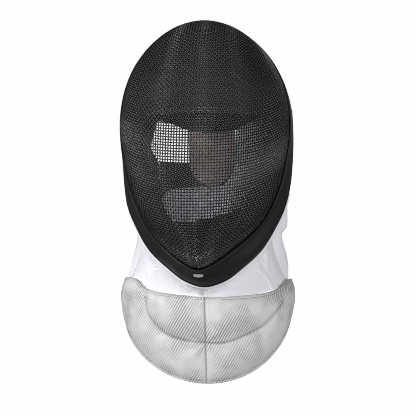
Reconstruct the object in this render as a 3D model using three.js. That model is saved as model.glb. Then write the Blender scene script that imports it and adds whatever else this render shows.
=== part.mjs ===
// A fencing mask, upright as it sits on a head and facing -Y.
//
// Lengths are millimetres. Inside the group +X is the wearer's left, +Z is up, heights are measured
// from the level of the cheeks and depths from the plane of the ears. The group is then moved so
// that its origin is the head seat: the underside of the crown pad, where the head carries the mask.
//
// Every soft or bent piece is a sheet: a function of two numbers from 0 to 1 that gives a point.
// wall() turns a sheet into a closed solid between two distances from it.

import * as THREE from 'three';
import { mergeVertices } from 'three/addons/utils/BufferGeometryUtils.js';

// ---------------------------------------------------------------- driving sizes

const HEAD_SEAT = { y: -18, z: 212 };       // underside of the crown pad, on the middle line
const NOSE = { y: -168, z: -12 };           // foremost point of the mesh
const WIRE_MESH = 2.2;                      // two crossing 1.1 mm wires
const CLEARANCE = 0.4;                      // between pieces that touch on the real mask
const TRIM = { thickness: 2.6, lap: 0.045 };  // lap: the share of the mesh depth that the trim covers
const BADGE = { width: 11.5, height: 5.2, thickness: 1.2 };
const PIPING = 3.6;                         // round white binding sewn to the trim
const CLOTH = 2.4;                          // several layers of bib cloth sewn together
const LAME = 3.0;                           // padded conductive cloth
const PAD = { gap: 1.2, crown: 14, side: 8, chin: 15 };
const BROW_LINE = 107;                      // lower edge of the crown pad
const CHIN_LINE = { middle: -17.5, tilt: 0.06 };   // upper edge of the chin pad
const TONGUE = { spring: 26, sheet: 1.5, cover: 64, padding: 8 };
const STRAP = { top: 62, bottom: 25, thickness: 2 };
const TAB_THICKNESS = 3;

// ---------------------------------------------------------------- the rim, chin to crown

// Left half of the rim. mesh: edge of the wire mesh. trim: outer edge of the black trim.
// turn: how far the mesh has curved away from facing forward when it reaches its edge, in degrees.
// aside: how far the outer edge of the trim sits towards the wearer's left, on both halves.
const RIM = [
  { at: 'chin',    mesh: [0, -104, -71],   trim: [0, -80, -92],   turn: 55, aside: 5 },
  { at: 'chin 2',  mesh: [19, -99, -63],   trim: [23, -75, -86],  turn: 58, aside: 5 },
  { at: 'chin 3',  mesh: [38, -84, -49],   trim: [45, -62, -71],  turn: 66, aside: 4 },
  { at: 'jaw',     mesh: [56, -62, -34],   trim: [68, -43, -51],  turn: 74, aside: 2.5 },
  { at: 'jaw 2',   mesh: [71, -41, -17],   trim: [86, -20, -24],  turn: 80, aside: 1.2 },
  { at: 'jaw 3',   mesh: [84, -22, 6],     trim: [99, 2, 2],      turn: 84 },
  { at: 'ear',     mesh: [93, -13, 30],    trim: [105, 15, 30],   turn: 86 },
  { at: 'ear 2',   mesh: [99, -9, 58],     trim: [107.5, 20, 60], turn: 88 },
  { at: 'temple',  mesh: [103, -6, 90],    trim: [108, 22, 92],   turn: 90 },
  { at: 'temple 2', mesh: [102, -4, 120],  trim: [106, 24, 121],  turn: 92 },
  { at: 'temple 3', mesh: [95, -2, 150],   trim: [98, 26, 150],   turn: 94 },
  { at: 'head',    mesh: [81, 0, 178],     trim: [83, 27, 177],   turn: 96 },
  { at: 'head 2',  mesh: [59, 2, 203],     trim: [60, 29, 201],   turn: 97 },
  { at: 'head 3',  mesh: [31, 3, 220.5],   trim: [31.5, 30, 217.5], turn: 98 },
  { at: 'crown',   mesh: [0, 3, 227],      trim: [0, 30, 224],    turn: 98 },
];
const LAST = RIM.length - 1;
const EAR = 6 / (2 * LAST);                 // place of the ear on the whole rim, which runs 0 to 1

const mirrored = ([x, y, z]) => [-x, y, z];
const wholeLoop = (edge) => new THREE.CatmullRomCurve3(
  [...RIM.map((row) => row[edge]), ...RIM.slice(1, LAST).reverse().map((row) => mirrored(row[edge]))]
    .map((point) => new THREE.Vector3(...point)), true, 'centripetal');
const meshEdge = wholeLoop('mesh');
const trimEdge = wholeLoop('trim');
trimEdge.points.forEach((point, i) => { point.x += RIM[Math.min(i, 2 * LAST - i)].aside ?? 0; });

// A place on the rim: 0 and 1 are the chin, 0.5 the crown, and 0 to 0.5 the wearer's left.
const wrap = (place) => place - Math.floor(place);
const turnAt = (place) => {
  const row = Math.min(wrap(place), 1 - wrap(place)) * 2 * LAST;
  const below = Math.min(Math.floor(row), LAST - 1);
  return THREE.MathUtils.degToRad(THREE.MathUtils.lerp(RIM[below].turn, RIM[below + 1].turn, row - below));
};

// The wire mesh: elliptic ribs from the nose to the rim. depth is 0 at the nose and 1 at the rim.
function dome(place, depth) {
  const edge = meshEdge.getPoint(wrap(place));
  const turn = turnAt(place);
  const out = Math.sin(depth * turn) / Math.sin(turn);
  const back = (1 - Math.cos(depth * turn)) / (1 - Math.cos(turn));
  return new THREE.Vector3(
    edge.x * out,
    NOSE.y + (edge.y - NOSE.y) * back,
    NOSE.z + (edge.z - NOSE.z) * out);
}

// The depth at which the rib to this place on the rim reaches a height.
function depthAtHeight(place, height) {
  const turn = turnAt(place);
  const share = (height - NOSE.z) / (meshEdge.getPoint(wrap(place)).z - NOSE.z);
  return Math.asin(THREE.MathUtils.clamp(share * Math.sin(turn), 0, Math.sin(turn) * 0.999)) / turn;
}

// ---------------------------------------------------------------- making solids from sheets

// Unit normal of a sheet, on the side from which u runs right and v runs down.
function normalOf(sheet, u, v, closed) {
  const step = 1e-3;
  const low = (value) => Math.max(value - step, 0);
  const high = (value) => Math.min(value + step, 1);
  const along = sheet(closed ? u + step : high(u), v).sub(sheet(closed ? u - step : low(u), v));
  const down = sheet(u, high(v)).sub(sheet(u, low(v)));
  return down.cross(along).normalize();
}

function solid(points, triangles) {
  const geometry = new THREE.BufferGeometry();
  geometry.setAttribute('position', new THREE.Float32BufferAttribute(points.flatMap((p) => [p.x, p.y, p.z]), 3));
  geometry.setIndex(triangles.flat());
  const merged = mergeVertices(geometry, 1e-4);
  const index = Array.from(merged.index.array);
  const kept = [];
  for (let i = 0; i < index.length; i += 3) {
    const [a, b, c] = index.slice(i, i + 3);
    if (a !== b && b !== c && c !== a) kept.push(a, b, c);
  }
  merged.setIndex(kept);
  merged.computeVertexNormals();
  return merged;
}

// A closed solid between two distances from a sheet, inner < outer. uSteps and vSteps are counts of
// facets. ring: u closes on itself. pole: the row v = 0 is a single point.
function wall(sheet, inner, outer, uSteps, vSteps, { ring = false, pole = false } = {}) {
  const points = [];
  const columns = ring ? uSteps : uSteps + 1;
  for (const distance of [outer, inner]) {
    for (let j = 0; j <= vSteps; j += 1) {
      for (let i = 0; i < columns; i += 1) {
        const u = i / uSteps;
        const v = j / vSteps;
        const normal = pole && j === 0 ? new THREE.Vector3(0, -1, 0) : normalOf(sheet, u, v, ring);
        points.push(sheet(u, v).addScaledVector(normal, distance));
      }
    }
  }
  const at = (side, i, j) => (side * (vSteps + 1) + j) * columns + (i % columns);
  const triangles = [];
  const quad = (a, b, c, d) => triangles.push([a, b, c], [a, c, d]);
  for (let i = 0; i < uSteps; i += 1) {
    for (let j = 0; j < vSteps; j += 1) {
      quad(at(0, i, j), at(0, i, j + 1), at(0, i + 1, j + 1), at(0, i + 1, j));
      quad(at(1, i, j), at(1, i + 1, j), at(1, i + 1, j + 1), at(1, i, j + 1));
    }
    quad(at(0, i, vSteps), at(1, i, vSteps), at(1, i + 1, vSteps), at(0, i + 1, vSteps));
    if (!pole) quad(at(0, i, 0), at(0, i + 1, 0), at(1, i + 1, 0), at(1, i, 0));
  }
  if (!ring) {
    for (let j = 0; j < vSteps; j += 1) {
      quad(at(0, 0, j), at(1, 0, j), at(1, 0, j + 1), at(0, 0, j + 1));
      quad(at(0, uSteps, j), at(0, uSteps, j + 1), at(1, uSteps, j + 1), at(1, uSteps, j));
    }
  }
  return solid(points, triangles);
}

// A smooth curve through a named column of a table.
const through = (rows, column) => new THREE.CatmullRomCurve3(
  rows.map((row) => new THREE.Vector3(...row[column])), false, 'centripetal');

const mask = new THREE.Group();
mask.position.set(0, -HEAD_SEAT.y, -HEAD_SEAT.z);

function add(name, geometry, color, roughness, metalness = 0) {
  const mesh = new THREE.Mesh(geometry, new THREE.MeshStandardMaterial({ color, roughness, metalness }));
  mesh.name = name;
  mask.add(mesh);
  return mesh;
}

// ---------------------------------------------------------------- wire mesh and trim

add('wire_mesh', wall(dome, -WIRE_MESH / 2, WIRE_MESH / 2, 52, 11, { ring: true, pole: true }), 0x2a2a2c, 0.5, 0.6);

// The trim lies on the edge of the mesh and runs on past it. across is 0 on the mesh and 1 outside.
const liftOfTrim = WIRE_MESH / 2 + 1.5 * CLEARANCE + TRIM.thickness / 2;
function trimSheet(place, across) {
  const front = 1 - TRIM.lap;
  const lifted = (depth) => dome(place, depth).addScaledVector(normalOf(dome, place, depth, true), liftOfTrim);
  const outside = trimEdge.getPoint(wrap(place));
  const path = new THREE.CatmullRomCurve3([lifted(front), lifted(1), outside.clone().lerp(lifted(1), 0.45)
    .addScaledVector(normalOf(dome, place, 1, true), 0.8), outside]);
  return path.getPoint(across);
}
add('rim_trim', wall(trimSheet, -TRIM.thickness / 2, TRIM.thickness / 2, 64, 5, { ring: true }), 0x17171a, 0.45);

// A blank oval badge on the trim, under the chin.
const badgeShape = new THREE.Shape();
badgeShape.absellipse(0, 0, BADGE.width / 2, BADGE.height / 2, 0, 2 * Math.PI);
const badge = new THREE.ExtrudeGeometry(badgeShape, { depth: BADGE.thickness, bevelEnabled: false, curveSegments: 12 });
const badgeSeat = trimSheet(-0.003, 0.42);
const badgeFacing = normalOf(trimSheet, -0.003, 0.42, true);
const badgePlate = add('badge', mergeVertices(badge.deleteAttribute('uv').deleteAttribute('normal')), 0xd8d6d0, 0.35, 0.7);
badgePlate.position.copy(badgeSeat).addScaledVector(badgeFacing, TRIM.thickness / 2 + CLEARANCE);
badgePlate.quaternion.setFromUnitVectors(new THREE.Vector3(0, 0, 1), badgeFacing);

// ---------------------------------------------------------------- padding inside the mesh

// Pads line the inside of the mesh between two places on the rim and two depths.
const lining = (fromPlace, toPlace, fromDepth, toDepth) => (u, v) => {
  const place = THREE.MathUtils.lerp(fromPlace, toPlace, u);
  return dome(place, THREE.MathUtils.lerp(fromDepth(place), toDepth, v));
};
const underMesh = -WIRE_MESH / 2 - PAD.gap;
const LINING_EDGE = 0.97;
const CROWN_END = 9.15 / (2 * LAST);
const crownLining = lining(CROWN_END, 1 - CROWN_END, (place) => depthAtHeight(place, BROW_LINE), LINING_EDGE);
add('crown_pad', wall(crownLining, underMesh - PAD.crown, underMesh, 24, 5), 0x2b2b2d, 0.95);

const CHIN_END = 3.6 / (2 * LAST);
const chinLine = (place) => CHIN_LINE.middle + CHIN_LINE.tilt * meshEdge.getPoint(wrap(place)).x;
const chinLining = lining(-CHIN_END, CHIN_END, (place) => depthAtHeight(place, chinLine(place)), LINING_EDGE);
add('chin_pad', wall(chinLining, underMesh - PAD.chin, underMesh, 14, 4), 0x1b1b1d, 0.95);

const SIDE = { from: 3.8 / (2 * LAST), to: 8.6 / (2 * LAST), depth: 0.8 };
const leftLining = lining(SIDE.from, SIDE.to, () => SIDE.depth, LINING_EDGE);
const rightLining = lining(1 - SIDE.to, 1 - SIDE.from, () => SIDE.depth, LINING_EDGE);
add('side_pad_left', wall(leftLining, underMesh - PAD.side, underMesh, 8, 4), 0x1b1b1d, 0.95);
add('side_pad_right', wall(rightLining, underMesh - PAD.side, underMesh, 8, 4), 0x1b1b1d, 0.95);

// ---------------------------------------------------------------- back of the head

// The black hood closes the top of the back. Rows run from the wearer's right to the left.
const HOOD = [
  { rim: [-90, 21, 159],  middle: [-82, 34, 140], hem: [-76, 40, 122] },
  { rim: [-62, 23, 194],  middle: [-58, 50, 156], hem: [-53, 60, 112] },
  { rim: [-30, 24, 211],  middle: [-30, 66, 166], hem: [-27, 77, 103] },
  { rim: [0, 24, 215],    middle: [0, 71, 169],   hem: [0, 81, 101] },
  { rim: [30, 24, 211],   middle: [30, 66, 166],  hem: [27, 77, 103] },
  { rim: [62, 23, 194],   middle: [58, 50, 156],  hem: [53, 60, 112] },
  { rim: [90, 21, 159],   middle: [82, 34, 140],  hem: [76, 40, 122] },
];
const hoodRim = through(HOOD, 'rim');
const hoodMiddle = through(HOOD, 'middle');
const hoodHem = through(HOOD, 'hem');
const hood = (u, v) => new THREE.CatmullRomCurve3(
  [hoodRim.getPoint(1 - u), hoodMiddle.getPoint(1 - u), hoodHem.getPoint(1 - u)]).getPoint(v);
add('back_hood', wall(hood, -3, 0, 14, 5), 0x1d1d1f, 0.95);

// The spring tongue grips the back of the head. Its middle line, from the crown down:
const TONGUE_LINE = [[0, 33, 221], [0, 52, 211], [0, 76, 182], [0, 91, 140], [0, 98, 95], [0, 100, 62], [0, 99, 30]]
  .map((point) => new THREE.Vector3(...point));
const tongueLine = new THREE.CatmullRomCurve3(TONGUE_LINE, false, 'centripetal');
const rounded = (share, corner) => (share > 1 - corner
  ? Math.sqrt(Math.max(1 - ((share - 1 + corner) / corner) ** 2, 0.02)) : 1);
const strip = (width, from, to, corner) => (u, v) => {
  const centre = tongueLine.getPointAt(THREE.MathUtils.lerp(from, to, v));
  return centre.setX((0.5 - u) * width * rounded(v, corner));
};
add('spring_tongue', wall(strip(TONGUE.spring, 0.01, 0.8, 0.06), 0, TONGUE.sheet, 2, 20), 0x8c8f93, 0.35, 0.9);
const COVER_FROM = 0.36;
add('tongue_cover', wall(strip(TONGUE.cover, COVER_FROM, 1, 0.2), -CLEARANCE - TONGUE.padding, -CLEARANCE, 6, 12),
  0xa59587, 0.9);

// Two rivets hold the tongue to a steel clip under the trim at the crown.
const rivetHead = new THREE.CylinderGeometry(3.6, 3.6, 1.6, 16);
for (const [side, sign] of [['left', 1], ['right', -1]]) {
  const rivet = add(`tongue_rivet_${side}`, mergeVertices(rivetHead.clone().deleteAttribute('uv').deleteAttribute('normal')),
    0x9a9a9c, 0.3, 0.9);
  const seat = tongueLine.getPointAt(0.05);
  const facing = normalOf(strip(TONGUE.spring, 0.01, 0.8, 0.06), 0.5, 0.05, false);
  rivet.position.copy(seat.setX(sign * 7)).addScaledVector(facing, TONGUE.sheet + CLEARANCE + 0.8);
  rivet.quaternion.setFromUnitVectors(new THREE.Vector3(0, 1, 0), facing);
}

// Black tabs sewn to the back edge of the trim carry an elastic strap behind the head. Rows run from
// the top edge down, each from the trim to the strap.
const TAB = [
  { z: 125, line: [[107, 26.5], [101, 47], [88, 68], [71, 84]] },
  { z: 104, line: [[107, 26.5], [101, 47], [90, 66], [77, 80]] },
  { z: 80,  line: [[107, 26.5], [101, 47], [92, 63], [81, 76.5]] },
  { z: 61,  line: [[107, 26.5], [101, 47], [88, 69], [72, 84]] },
  { z: 34,  line: [[107, 26.5], [101, 47], [88, 68], [72, 84]] },
];
const tab = (sign) => {
  const lines = TAB.map(({ z, line }) => new THREE.CatmullRomCurve3(
    line.map(([x, y]) => new THREE.Vector3(sign * x, y, z)), false, 'centripetal'));
  return (u, v) => new THREE.CatmullRomCurve3(
    lines.map((line) => line.getPoint(sign > 0 ? u : 1 - u)), false, 'centripetal').getPoint(v);
};
add('strap_tab_left', wall(tab(1), -TAB_THICKNESS / 2, TAB_THICKNESS / 2, 10, 6), 0x18181a, 0.9);
add('strap_tab_right', wall(tab(-1), -TAB_THICKNESS / 2, TAB_THICKNESS / 2, 10, 6), 0x18181a, 0.9);

// A black flap under the white wings closes the nape, from the wearer's right to the left.
const NAPE_FLAP = [
  { top: [-95, 36, 40], foot: [-82, 40, -20] },
  { top: [-93, 50, 40], foot: [-83, 57, -22] },
  { top: [-83, 65, 40], foot: [-76, 71, -23] },
  { top: [-66, 80, 38], foot: [-60, 84, -24] },
  { top: [-45, 93, 24], foot: [-40, 93, -25] },
  { top: [0, 99, 21],   foot: [0, 98, -26] },
  { top: [40, 97, 21],  foot: [40, 97, -26] },
  { top: [63, 90, 21],  foot: [62, 91, -26] },
];
const flapTop = through(NAPE_FLAP, 'top');
const flapFoot = through(NAPE_FLAP, 'foot');
const napeFlap = (u, v) => flapTop.getPoint(u).lerp(flapFoot.getPoint(u), v);
add('nape_flap', wall(napeFlap, -TAB_THICKNESS / 2, TAB_THICKNESS / 2, 20, 2), 0x18181a, 0.9);

const strapLine = new THREE.CatmullRomCurve3([[70.5, 85.8], [52, 96], [30, 103], [0, 105], [-30, 103], [-52, 96], [-70.5, 85.8]]
  .map(([x, y]) => new THREE.Vector3(x, y, 0)));
const strap = (u, v) => strapLine.getPointAt(u).setZ(THREE.MathUtils.lerp(STRAP.top, STRAP.bottom, v));
add('back_strap', wall(strap, -STRAP.thickness / 2, STRAP.thickness / 2, 24, 2), 0x232325, 0.9);

// ---------------------------------------------------------------- bib

// A white piping follows the outer edge of the trim from ear to ear, under the chin.
const PIPING_STEPS = 48;
const PIPING_END = 0.93 * EAR;
const pipingCentre = (share) => {
  const place = THREE.MathUtils.lerp(-PIPING_END, PIPING_END, share);
  const edge = trimSheet(place, 1);
  const outward = edge.clone().sub(trimSheet(place, 0.9)).normalize();
  return edge.addScaledVector(outward, PIPING / 2 + 2 * CLEARANCE);
};
const pipingLine = new THREE.CatmullRomCurve3(
  Array.from({ length: PIPING_STEPS / 2 + 1 }, (_, i) => pipingCentre(i / (PIPING_STEPS / 2))));
const roundSection = new THREE.Shape();
roundSection.absarc(0, 0, PIPING / 2, 0, 2 * Math.PI);
const piping = new THREE.ExtrudeGeometry(roundSection,
  { steps: PIPING_STEPS, extrudePath: pipingLine, curveSegments: 3, bevelEnabled: false });
add('bib_piping', mergeVertices(piping.deleteAttribute('uv').deleteAttribute('normal')), 0xf2f2f6, 0.85);

// The white cloth hangs from the piping and wraps the neck. Rows run from the end of the short
// wing, round the front, to the end of the long wing that crosses the back of the neck.
// top: upper edge. waist: where the cloth is drawn in. foot: seam or free lower edge.
const SHORT_WING = [
  { top: [-78, 78, -6],   waist: [-79, 79, -20],  foot: [-80, 80, -36] },
  { top: [-93, 61, 4],    waist: [-93, 65, -16],  foot: [-95, 66, -44] },
  { top: [-102, 38, 13],  waist: [-92, 46, -24],  foot: [-99, 54, -60] },
];
const LONG_WING = [
  { top: [99, 27, 66],    waist: [98.5, 39, -12], foot: [97, 54, -60] },
  { top: [88, 38, 118],   waist: [90, 50, 22],    foot: [94, 66, -44] },
  { top: [72, 51, 123],   waist: [72, 62, 38],    foot: [78, 79, -24] },
  { top: [52, 66, 118],   waist: [54, 77, 46],    foot: [57, 86, -5] },
  { top: [39, 76, 108],   waist: [38, 85, 44],    foot: [37, 89, -1] },
  { top: [35, 82, 62],    waist: [27, 86, 26],    foot: [25, 91, -5] },
  { top: [18, 85, 32],    waist: [12, 88, 10],    foot: [10, 91, -10] },
  { top: [-12, 88, 28],   waist: [-12, 89, 6],    foot: [-12, 91, -16] },
  { top: [-36, 86, 27],   waist: [-37, 87, 4],    foot: [-36, 88, -19] },
  { top: [-54, 80, 25],   waist: [-54, 80, 3],    foot: [-50, 81, -18] },
  { top: [-65, 72, 13],   waist: [-63, 73, 4],    foot: [-60, 75, -5] },
];
// Under the trim, from the ear to the chin. seam: where on the apron the foot is sewn, as a width.
const UNDER_TRIM = [
  { waist: [82, 24, -32],  seam: 106.5 },
  { waist: [81, 4, -40],   seam: 100 },
  { waist: [76, -13, -53], seam: 87 },
  { waist: [58, -36, -72], seam: 63 },
  { waist: [30, -54, -90], seam: 33 },
  { waist: [0, -62, -101], seam: 0 },
];
const ROWS_UNDER_TRIM = 24;
const TUCK = { inside: 4.5, below: 3 };     // the foot is sewn behind the top of the apron

// The grey conductive apron follows an ellipse round the neck.
const APRON = { halfWidth: 107.3, depth: 96, back: 36, shoulder: -92, middle: -107, corner: -126, hem: -209,
  aside: 3.5, sway: 2.5 };
const apronDepth = (x) => APRON.back - APRON.depth * Math.sqrt(Math.max(1 - (x / APRON.halfWidth) ** 2, 0));
const apronTop = (x) => APRON.middle + (APRON.shoulder - APRON.middle) * (x / APRON.halfWidth) ** 2;
const apronHem = (x) => APRON.corner
  + (APRON.hem - APRON.corner) * Math.max(1 - (x / APRON.halfWidth) ** 2, 0) ** 0.53;
// It hangs a little towards the wearer's left, and more at the hem.
const apronAside = (x, v) => (APRON.aside + APRON.sway * v) * (1 - (x / APRON.halfWidth) ** 2);

// The cloth starts just below the piping.
const underPiping = (share) => {
  const place = THREE.MathUtils.lerp(-EAR, EAR, share);
  const outward = trimSheet(place, 1).sub(trimSheet(place, 0.9)).normalize();
  return trimSheet(place, 1).addScaledVector(outward, PIPING + 2 * CLEARANCE + 2.1).toArray();
};
const waistLine = through(UNDER_TRIM, 'waist');
const seamLine = new THREE.CatmullRomCurve3(UNDER_TRIM.map((row) => new THREE.Vector3(row.seam, 0, 0)));
const underTrim = Array.from({ length: ROWS_UNDER_TRIM + 1 }, (_, i) => {
  const share = i / ROWS_UNDER_TRIM;
  const toEar = Math.abs(2 * share - 1);
  const side = share < 0.5 ? -1 : 1;
  const waist = waistLine.getPoint(1 - toEar);
  const seam = seamLine.getPoint(1 - toEar).x;
  return {
    top: underPiping(share),
    waist: [side * waist.x, waist.y, waist.z],
    foot: [
      side * seam * (1 - TUCK.inside / APRON.halfWidth) + apronAside(seam, 0),
      APRON.back + (apronDepth(seam) - APRON.back) * (1 - TUCK.inside / APRON.depth),
      apronTop(seam) - TUCK.below,
    ],
  };
});
const BIB = [...SHORT_WING, ...underTrim, ...LONG_WING];
const bibTop = through(BIB, 'top');
const bibWaist = through(BIB, 'waist');
const bibFoot = through(BIB, 'foot');
const bib = (u, v) => new THREE.QuadraticBezierCurve3(
  bibTop.getPoint(u),
  bibWaist.getPoint(u).multiplyScalar(2).sub(bibTop.getPoint(u).add(bibFoot.getPoint(u)).multiplyScalar(0.5)),
  bibFoot.getPoint(u)).getPoint(v);
add('bib_upper', wall(bib, -CLOTH / 2, CLOTH / 2, 72, 5), 0xf0f0f4, 0.9);

const apron = (u, v) => {
  const x = -APRON.halfWidth * Math.sin((0.5 - u) * Math.PI);
  const roundCorner = 7 * Math.abs(2 * u - 1) ** 14;
  return new THREE.Vector3(x + apronAside(x, v), apronDepth(x),
    THREE.MathUtils.lerp(apronTop(x) - roundCorner, apronHem(x), v));
};
add('bib_lame', wall(apron, -LAME / 2, LAME / 2, 32, 7), 0xc4c4c8, 0.5, 0.3);

export default mask;
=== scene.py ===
import math

import bmesh
import bpy
import numpy as np
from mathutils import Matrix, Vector
from mathutils.bvhtree import BVHTree
from mathutils.kdtree import KDTree


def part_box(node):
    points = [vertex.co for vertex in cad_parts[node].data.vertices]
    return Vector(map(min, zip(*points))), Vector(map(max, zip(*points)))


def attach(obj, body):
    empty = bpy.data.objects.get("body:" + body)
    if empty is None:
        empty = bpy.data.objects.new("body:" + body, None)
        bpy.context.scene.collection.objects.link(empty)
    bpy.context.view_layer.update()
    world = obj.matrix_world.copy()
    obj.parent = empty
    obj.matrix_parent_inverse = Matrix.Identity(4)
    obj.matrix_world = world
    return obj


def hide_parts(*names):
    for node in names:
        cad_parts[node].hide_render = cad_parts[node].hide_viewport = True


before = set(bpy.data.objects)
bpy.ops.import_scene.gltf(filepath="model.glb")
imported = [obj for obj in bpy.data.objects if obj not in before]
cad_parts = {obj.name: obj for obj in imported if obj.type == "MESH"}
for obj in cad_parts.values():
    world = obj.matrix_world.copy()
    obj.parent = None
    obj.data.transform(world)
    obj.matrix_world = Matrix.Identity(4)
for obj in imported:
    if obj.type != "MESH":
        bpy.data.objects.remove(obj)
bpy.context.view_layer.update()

# ------------------------------------------------------------------ room, light and camera
# A white paper sweep under soft studio light, and a long lens level with the mask's cheeks,
# a little to the wearer's left. The mask hangs from its head seat, which is the origin.

MM = 0.001
EARS = 18.0                     # mm from the head seat back to the plane of the ears
CHEEKS = -212.0                 # mm from the head seat down to the level of the cheeks
CAMERA = {"distance": 1.15, "azimuth": math.radians(4.7), "aside": 0.0025, "lens": 79.2}

scene = bpy.context.scene
scene.view_settings.view_transform = "Standard"
scene.view_settings.look = "None"
scene.cycles.filter_width = 0.95        # crisp, so that single wires stand apart


def put(name, data):
    """A new object at the origin, in the scene."""
    thing = bpy.data.objects.new(name, data)
    scene.collection.objects.link(thing)
    return thing


lens = bpy.data.cameras.new("camera")
lens.lens = CAMERA["lens"]
camera = put("camera", lens)
turn_sin, turn_cos = math.sin(CAMERA["azimuth"]), math.cos(CAMERA["azimuth"])
camera.location = (
    CAMERA["distance"] * turn_sin + CAMERA["aside"] * turn_cos,
    EARS * MM - CAMERA["distance"] * turn_cos + CAMERA["aside"] * turn_sin,
    CHEEKS * MM,
)
camera.rotation_euler = (math.pi / 2, 0, CAMERA["azimuth"])
scene.camera = camera

world = bpy.data.worlds.new("studio")
world.use_nodes = True
sky = world.node_tree.nodes["Background"]
sky.inputs["Color"].default_value = (0.97, 0.98, 1.0, 1)
sky.inputs["Strength"].default_value = 0.11
scene.world = world


def soft_light(name, place, aim, size, power, spread=math.pi):
    """A square panel in metres and watts. spread is the angle of its beam."""
    panel = bpy.data.lights.new(name, "AREA")
    panel.size = size
    panel.energy = power
    panel.spread = spread
    lamp = put(name, panel)
    lamp.location = place
    lamp.visible_camera = False
    lamp.rotation_euler = (Vector(aim) - Vector(place)).to_track_quat("-Z", "Y").to_euler()


soft_light("key", (-1.45, -0.95, 0.35), (0, 0, -0.2), 0.7, 26)
soft_light("front", (0.15, -1.7, -0.2), (0, 0, -0.25), 0.4, 10)
soft_light("side", (1.3, -0.55, -0.3), (0.1, 0, -0.3), 0.6, 7)
soft_light("top", (-0.1, -0.7, 0.9), (0, 0, -0.15), 0.4, 1)
soft_light("behind", (0.5, 1.6, 0.4), (0, 0, -0.2), 1.0, 2)
soft_light("under", (0.0, 0.12, -0.6), (0, -0.02, -0.2), 0.16, 0.27, math.radians(44))


def made(name, bm, smooth=True):
    """The object that a finished bmesh makes. The bmesh is freed."""
    data = bpy.data.meshes.new(name)
    bm.to_mesh(data)
    bm.free()
    if smooth:
        data.shade_smooth()
    return put(name, data)


FLOOR = -0.75                   # height of the paper floor, in metres
ROOM = {"radius": 3.6, "height": 5.0, "cove": 1.2}
room_mesh = bmesh.new()
bmesh.ops.create_cone(room_mesh, cap_ends=True, segments=96, depth=ROOM["height"],
                      radius1=ROOM["radius"], radius2=ROOM["radius"])
foot = [edge for edge in room_mesh.edges if all(vert.co.z < 0 for vert in edge.verts)]
bmesh.ops.bevel(room_mesh, geom=foot, offset=ROOM["cove"], segments=12, profile=0.5, affect="EDGES",
                material=-1)
bmesh.ops.translate(room_mesh, verts=room_mesh.verts, vec=(0, 0, FLOOR + ROOM["height"] / 2))
bmesh.ops.reverse_faces(room_mesh, faces=room_mesh.faces)
room = made("paper_room", room_mesh)
paper = bpy.data.materials.new("white paper, evenly lit")
paper.use_nodes = True
for socket, value in {"Base Color": (0.02, 0.02, 0.02, 1), "Roughness": 1, "Specular IOR Level": 0,
                      "Emission Color": (1, 1, 1, 1), "Emission Strength": 0.99}.items():
    paper.node_tree.nodes["Principled BSDF"].inputs[socket].default_value = value
room.data.materials.append(paper)
# The paper is only the background: the panels and the dim studio light the mask.
for seen_by in ("diffuse", "glossy", "transmission", "volume_scatter", "shadow"):
    setattr(room, f"visible_{seen_by}", False)

# ------------------------------------------------------------------ woven wire mesh
# Two sets of black enamelled steel wires, woven one over one under and pressed into a dome. The
# weave is a fishing net laid on the dome from the mouth outwards: each crossing is one pitch from
# its two neighbours, so the squares shear towards the corners as in the pressed mesh.

# Left half of the rim, chin to crown. wire: edge of the mesh. band: outer edge of the trim.
# turn: how far the mesh has curved away from facing forward at its edge, in degrees.
# aside: how far the outer edge of the trim sits towards the wearer's left, on both halves.
RIM = [
    {"wire": (0, -104, -71), "band": (0, -80, -92), "turn": 55, "aside": 5},      # chin
    {"wire": (19, -99, -63), "band": (23, -75, -86), "turn": 58, "aside": 5},
    {"wire": (38, -84, -49), "band": (45, -62, -71), "turn": 66, "aside": 4},
    {"wire": (56, -62, -34), "band": (68, -43, -51), "turn": 74, "aside": 2.5},   # jaw
    {"wire": (71, -41, -17), "band": (86, -20, -24), "turn": 80, "aside": 1.2},
    {"wire": (84, -22, 6), "band": (99, 2, 2), "turn": 84},
    {"wire": (93, -13, 30), "band": (105, 15, 30), "turn": 86},                   # ear
    {"wire": (99, -9, 58), "band": (107.5, 20, 60), "turn": 88},
    {"wire": (103, -6, 90), "band": (108, 22, 92), "turn": 90},                   # temple
    {"wire": (102, -4, 120), "band": (106, 24, 121), "turn": 92},
    {"wire": (95, -2, 150), "band": (98, 26, 150), "turn": 94},
    {"wire": (81, 0, 178), "band": (83, 27, 177), "turn": 96},                    # head
    {"wire": (59, 2, 203), "band": (60, 29, 201), "turn": 97},
    {"wire": (31, 3, 220.5), "band": (31.5, 30, 217.5), "turn": 98},
    {"wire": (0, 3, 227), "band": (0, 30, 224), "turn": 98},                      # crown
]
NOSE = np.array((0.0, -168.0, -12.0))
# In mm. crimp: how far a wire rises and sinks where it crosses another.
WIRE = {"radius": 0.72, "pitch": 3.2, "crimp": 0.62, "sides": 6}
NET_EDGE = 1.0                  # the wires end under the trim, at the rim
GLINT_TO = 0.93                  # painted knuckle highlights stop here: none from here outwards, beside and under the trim


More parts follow.
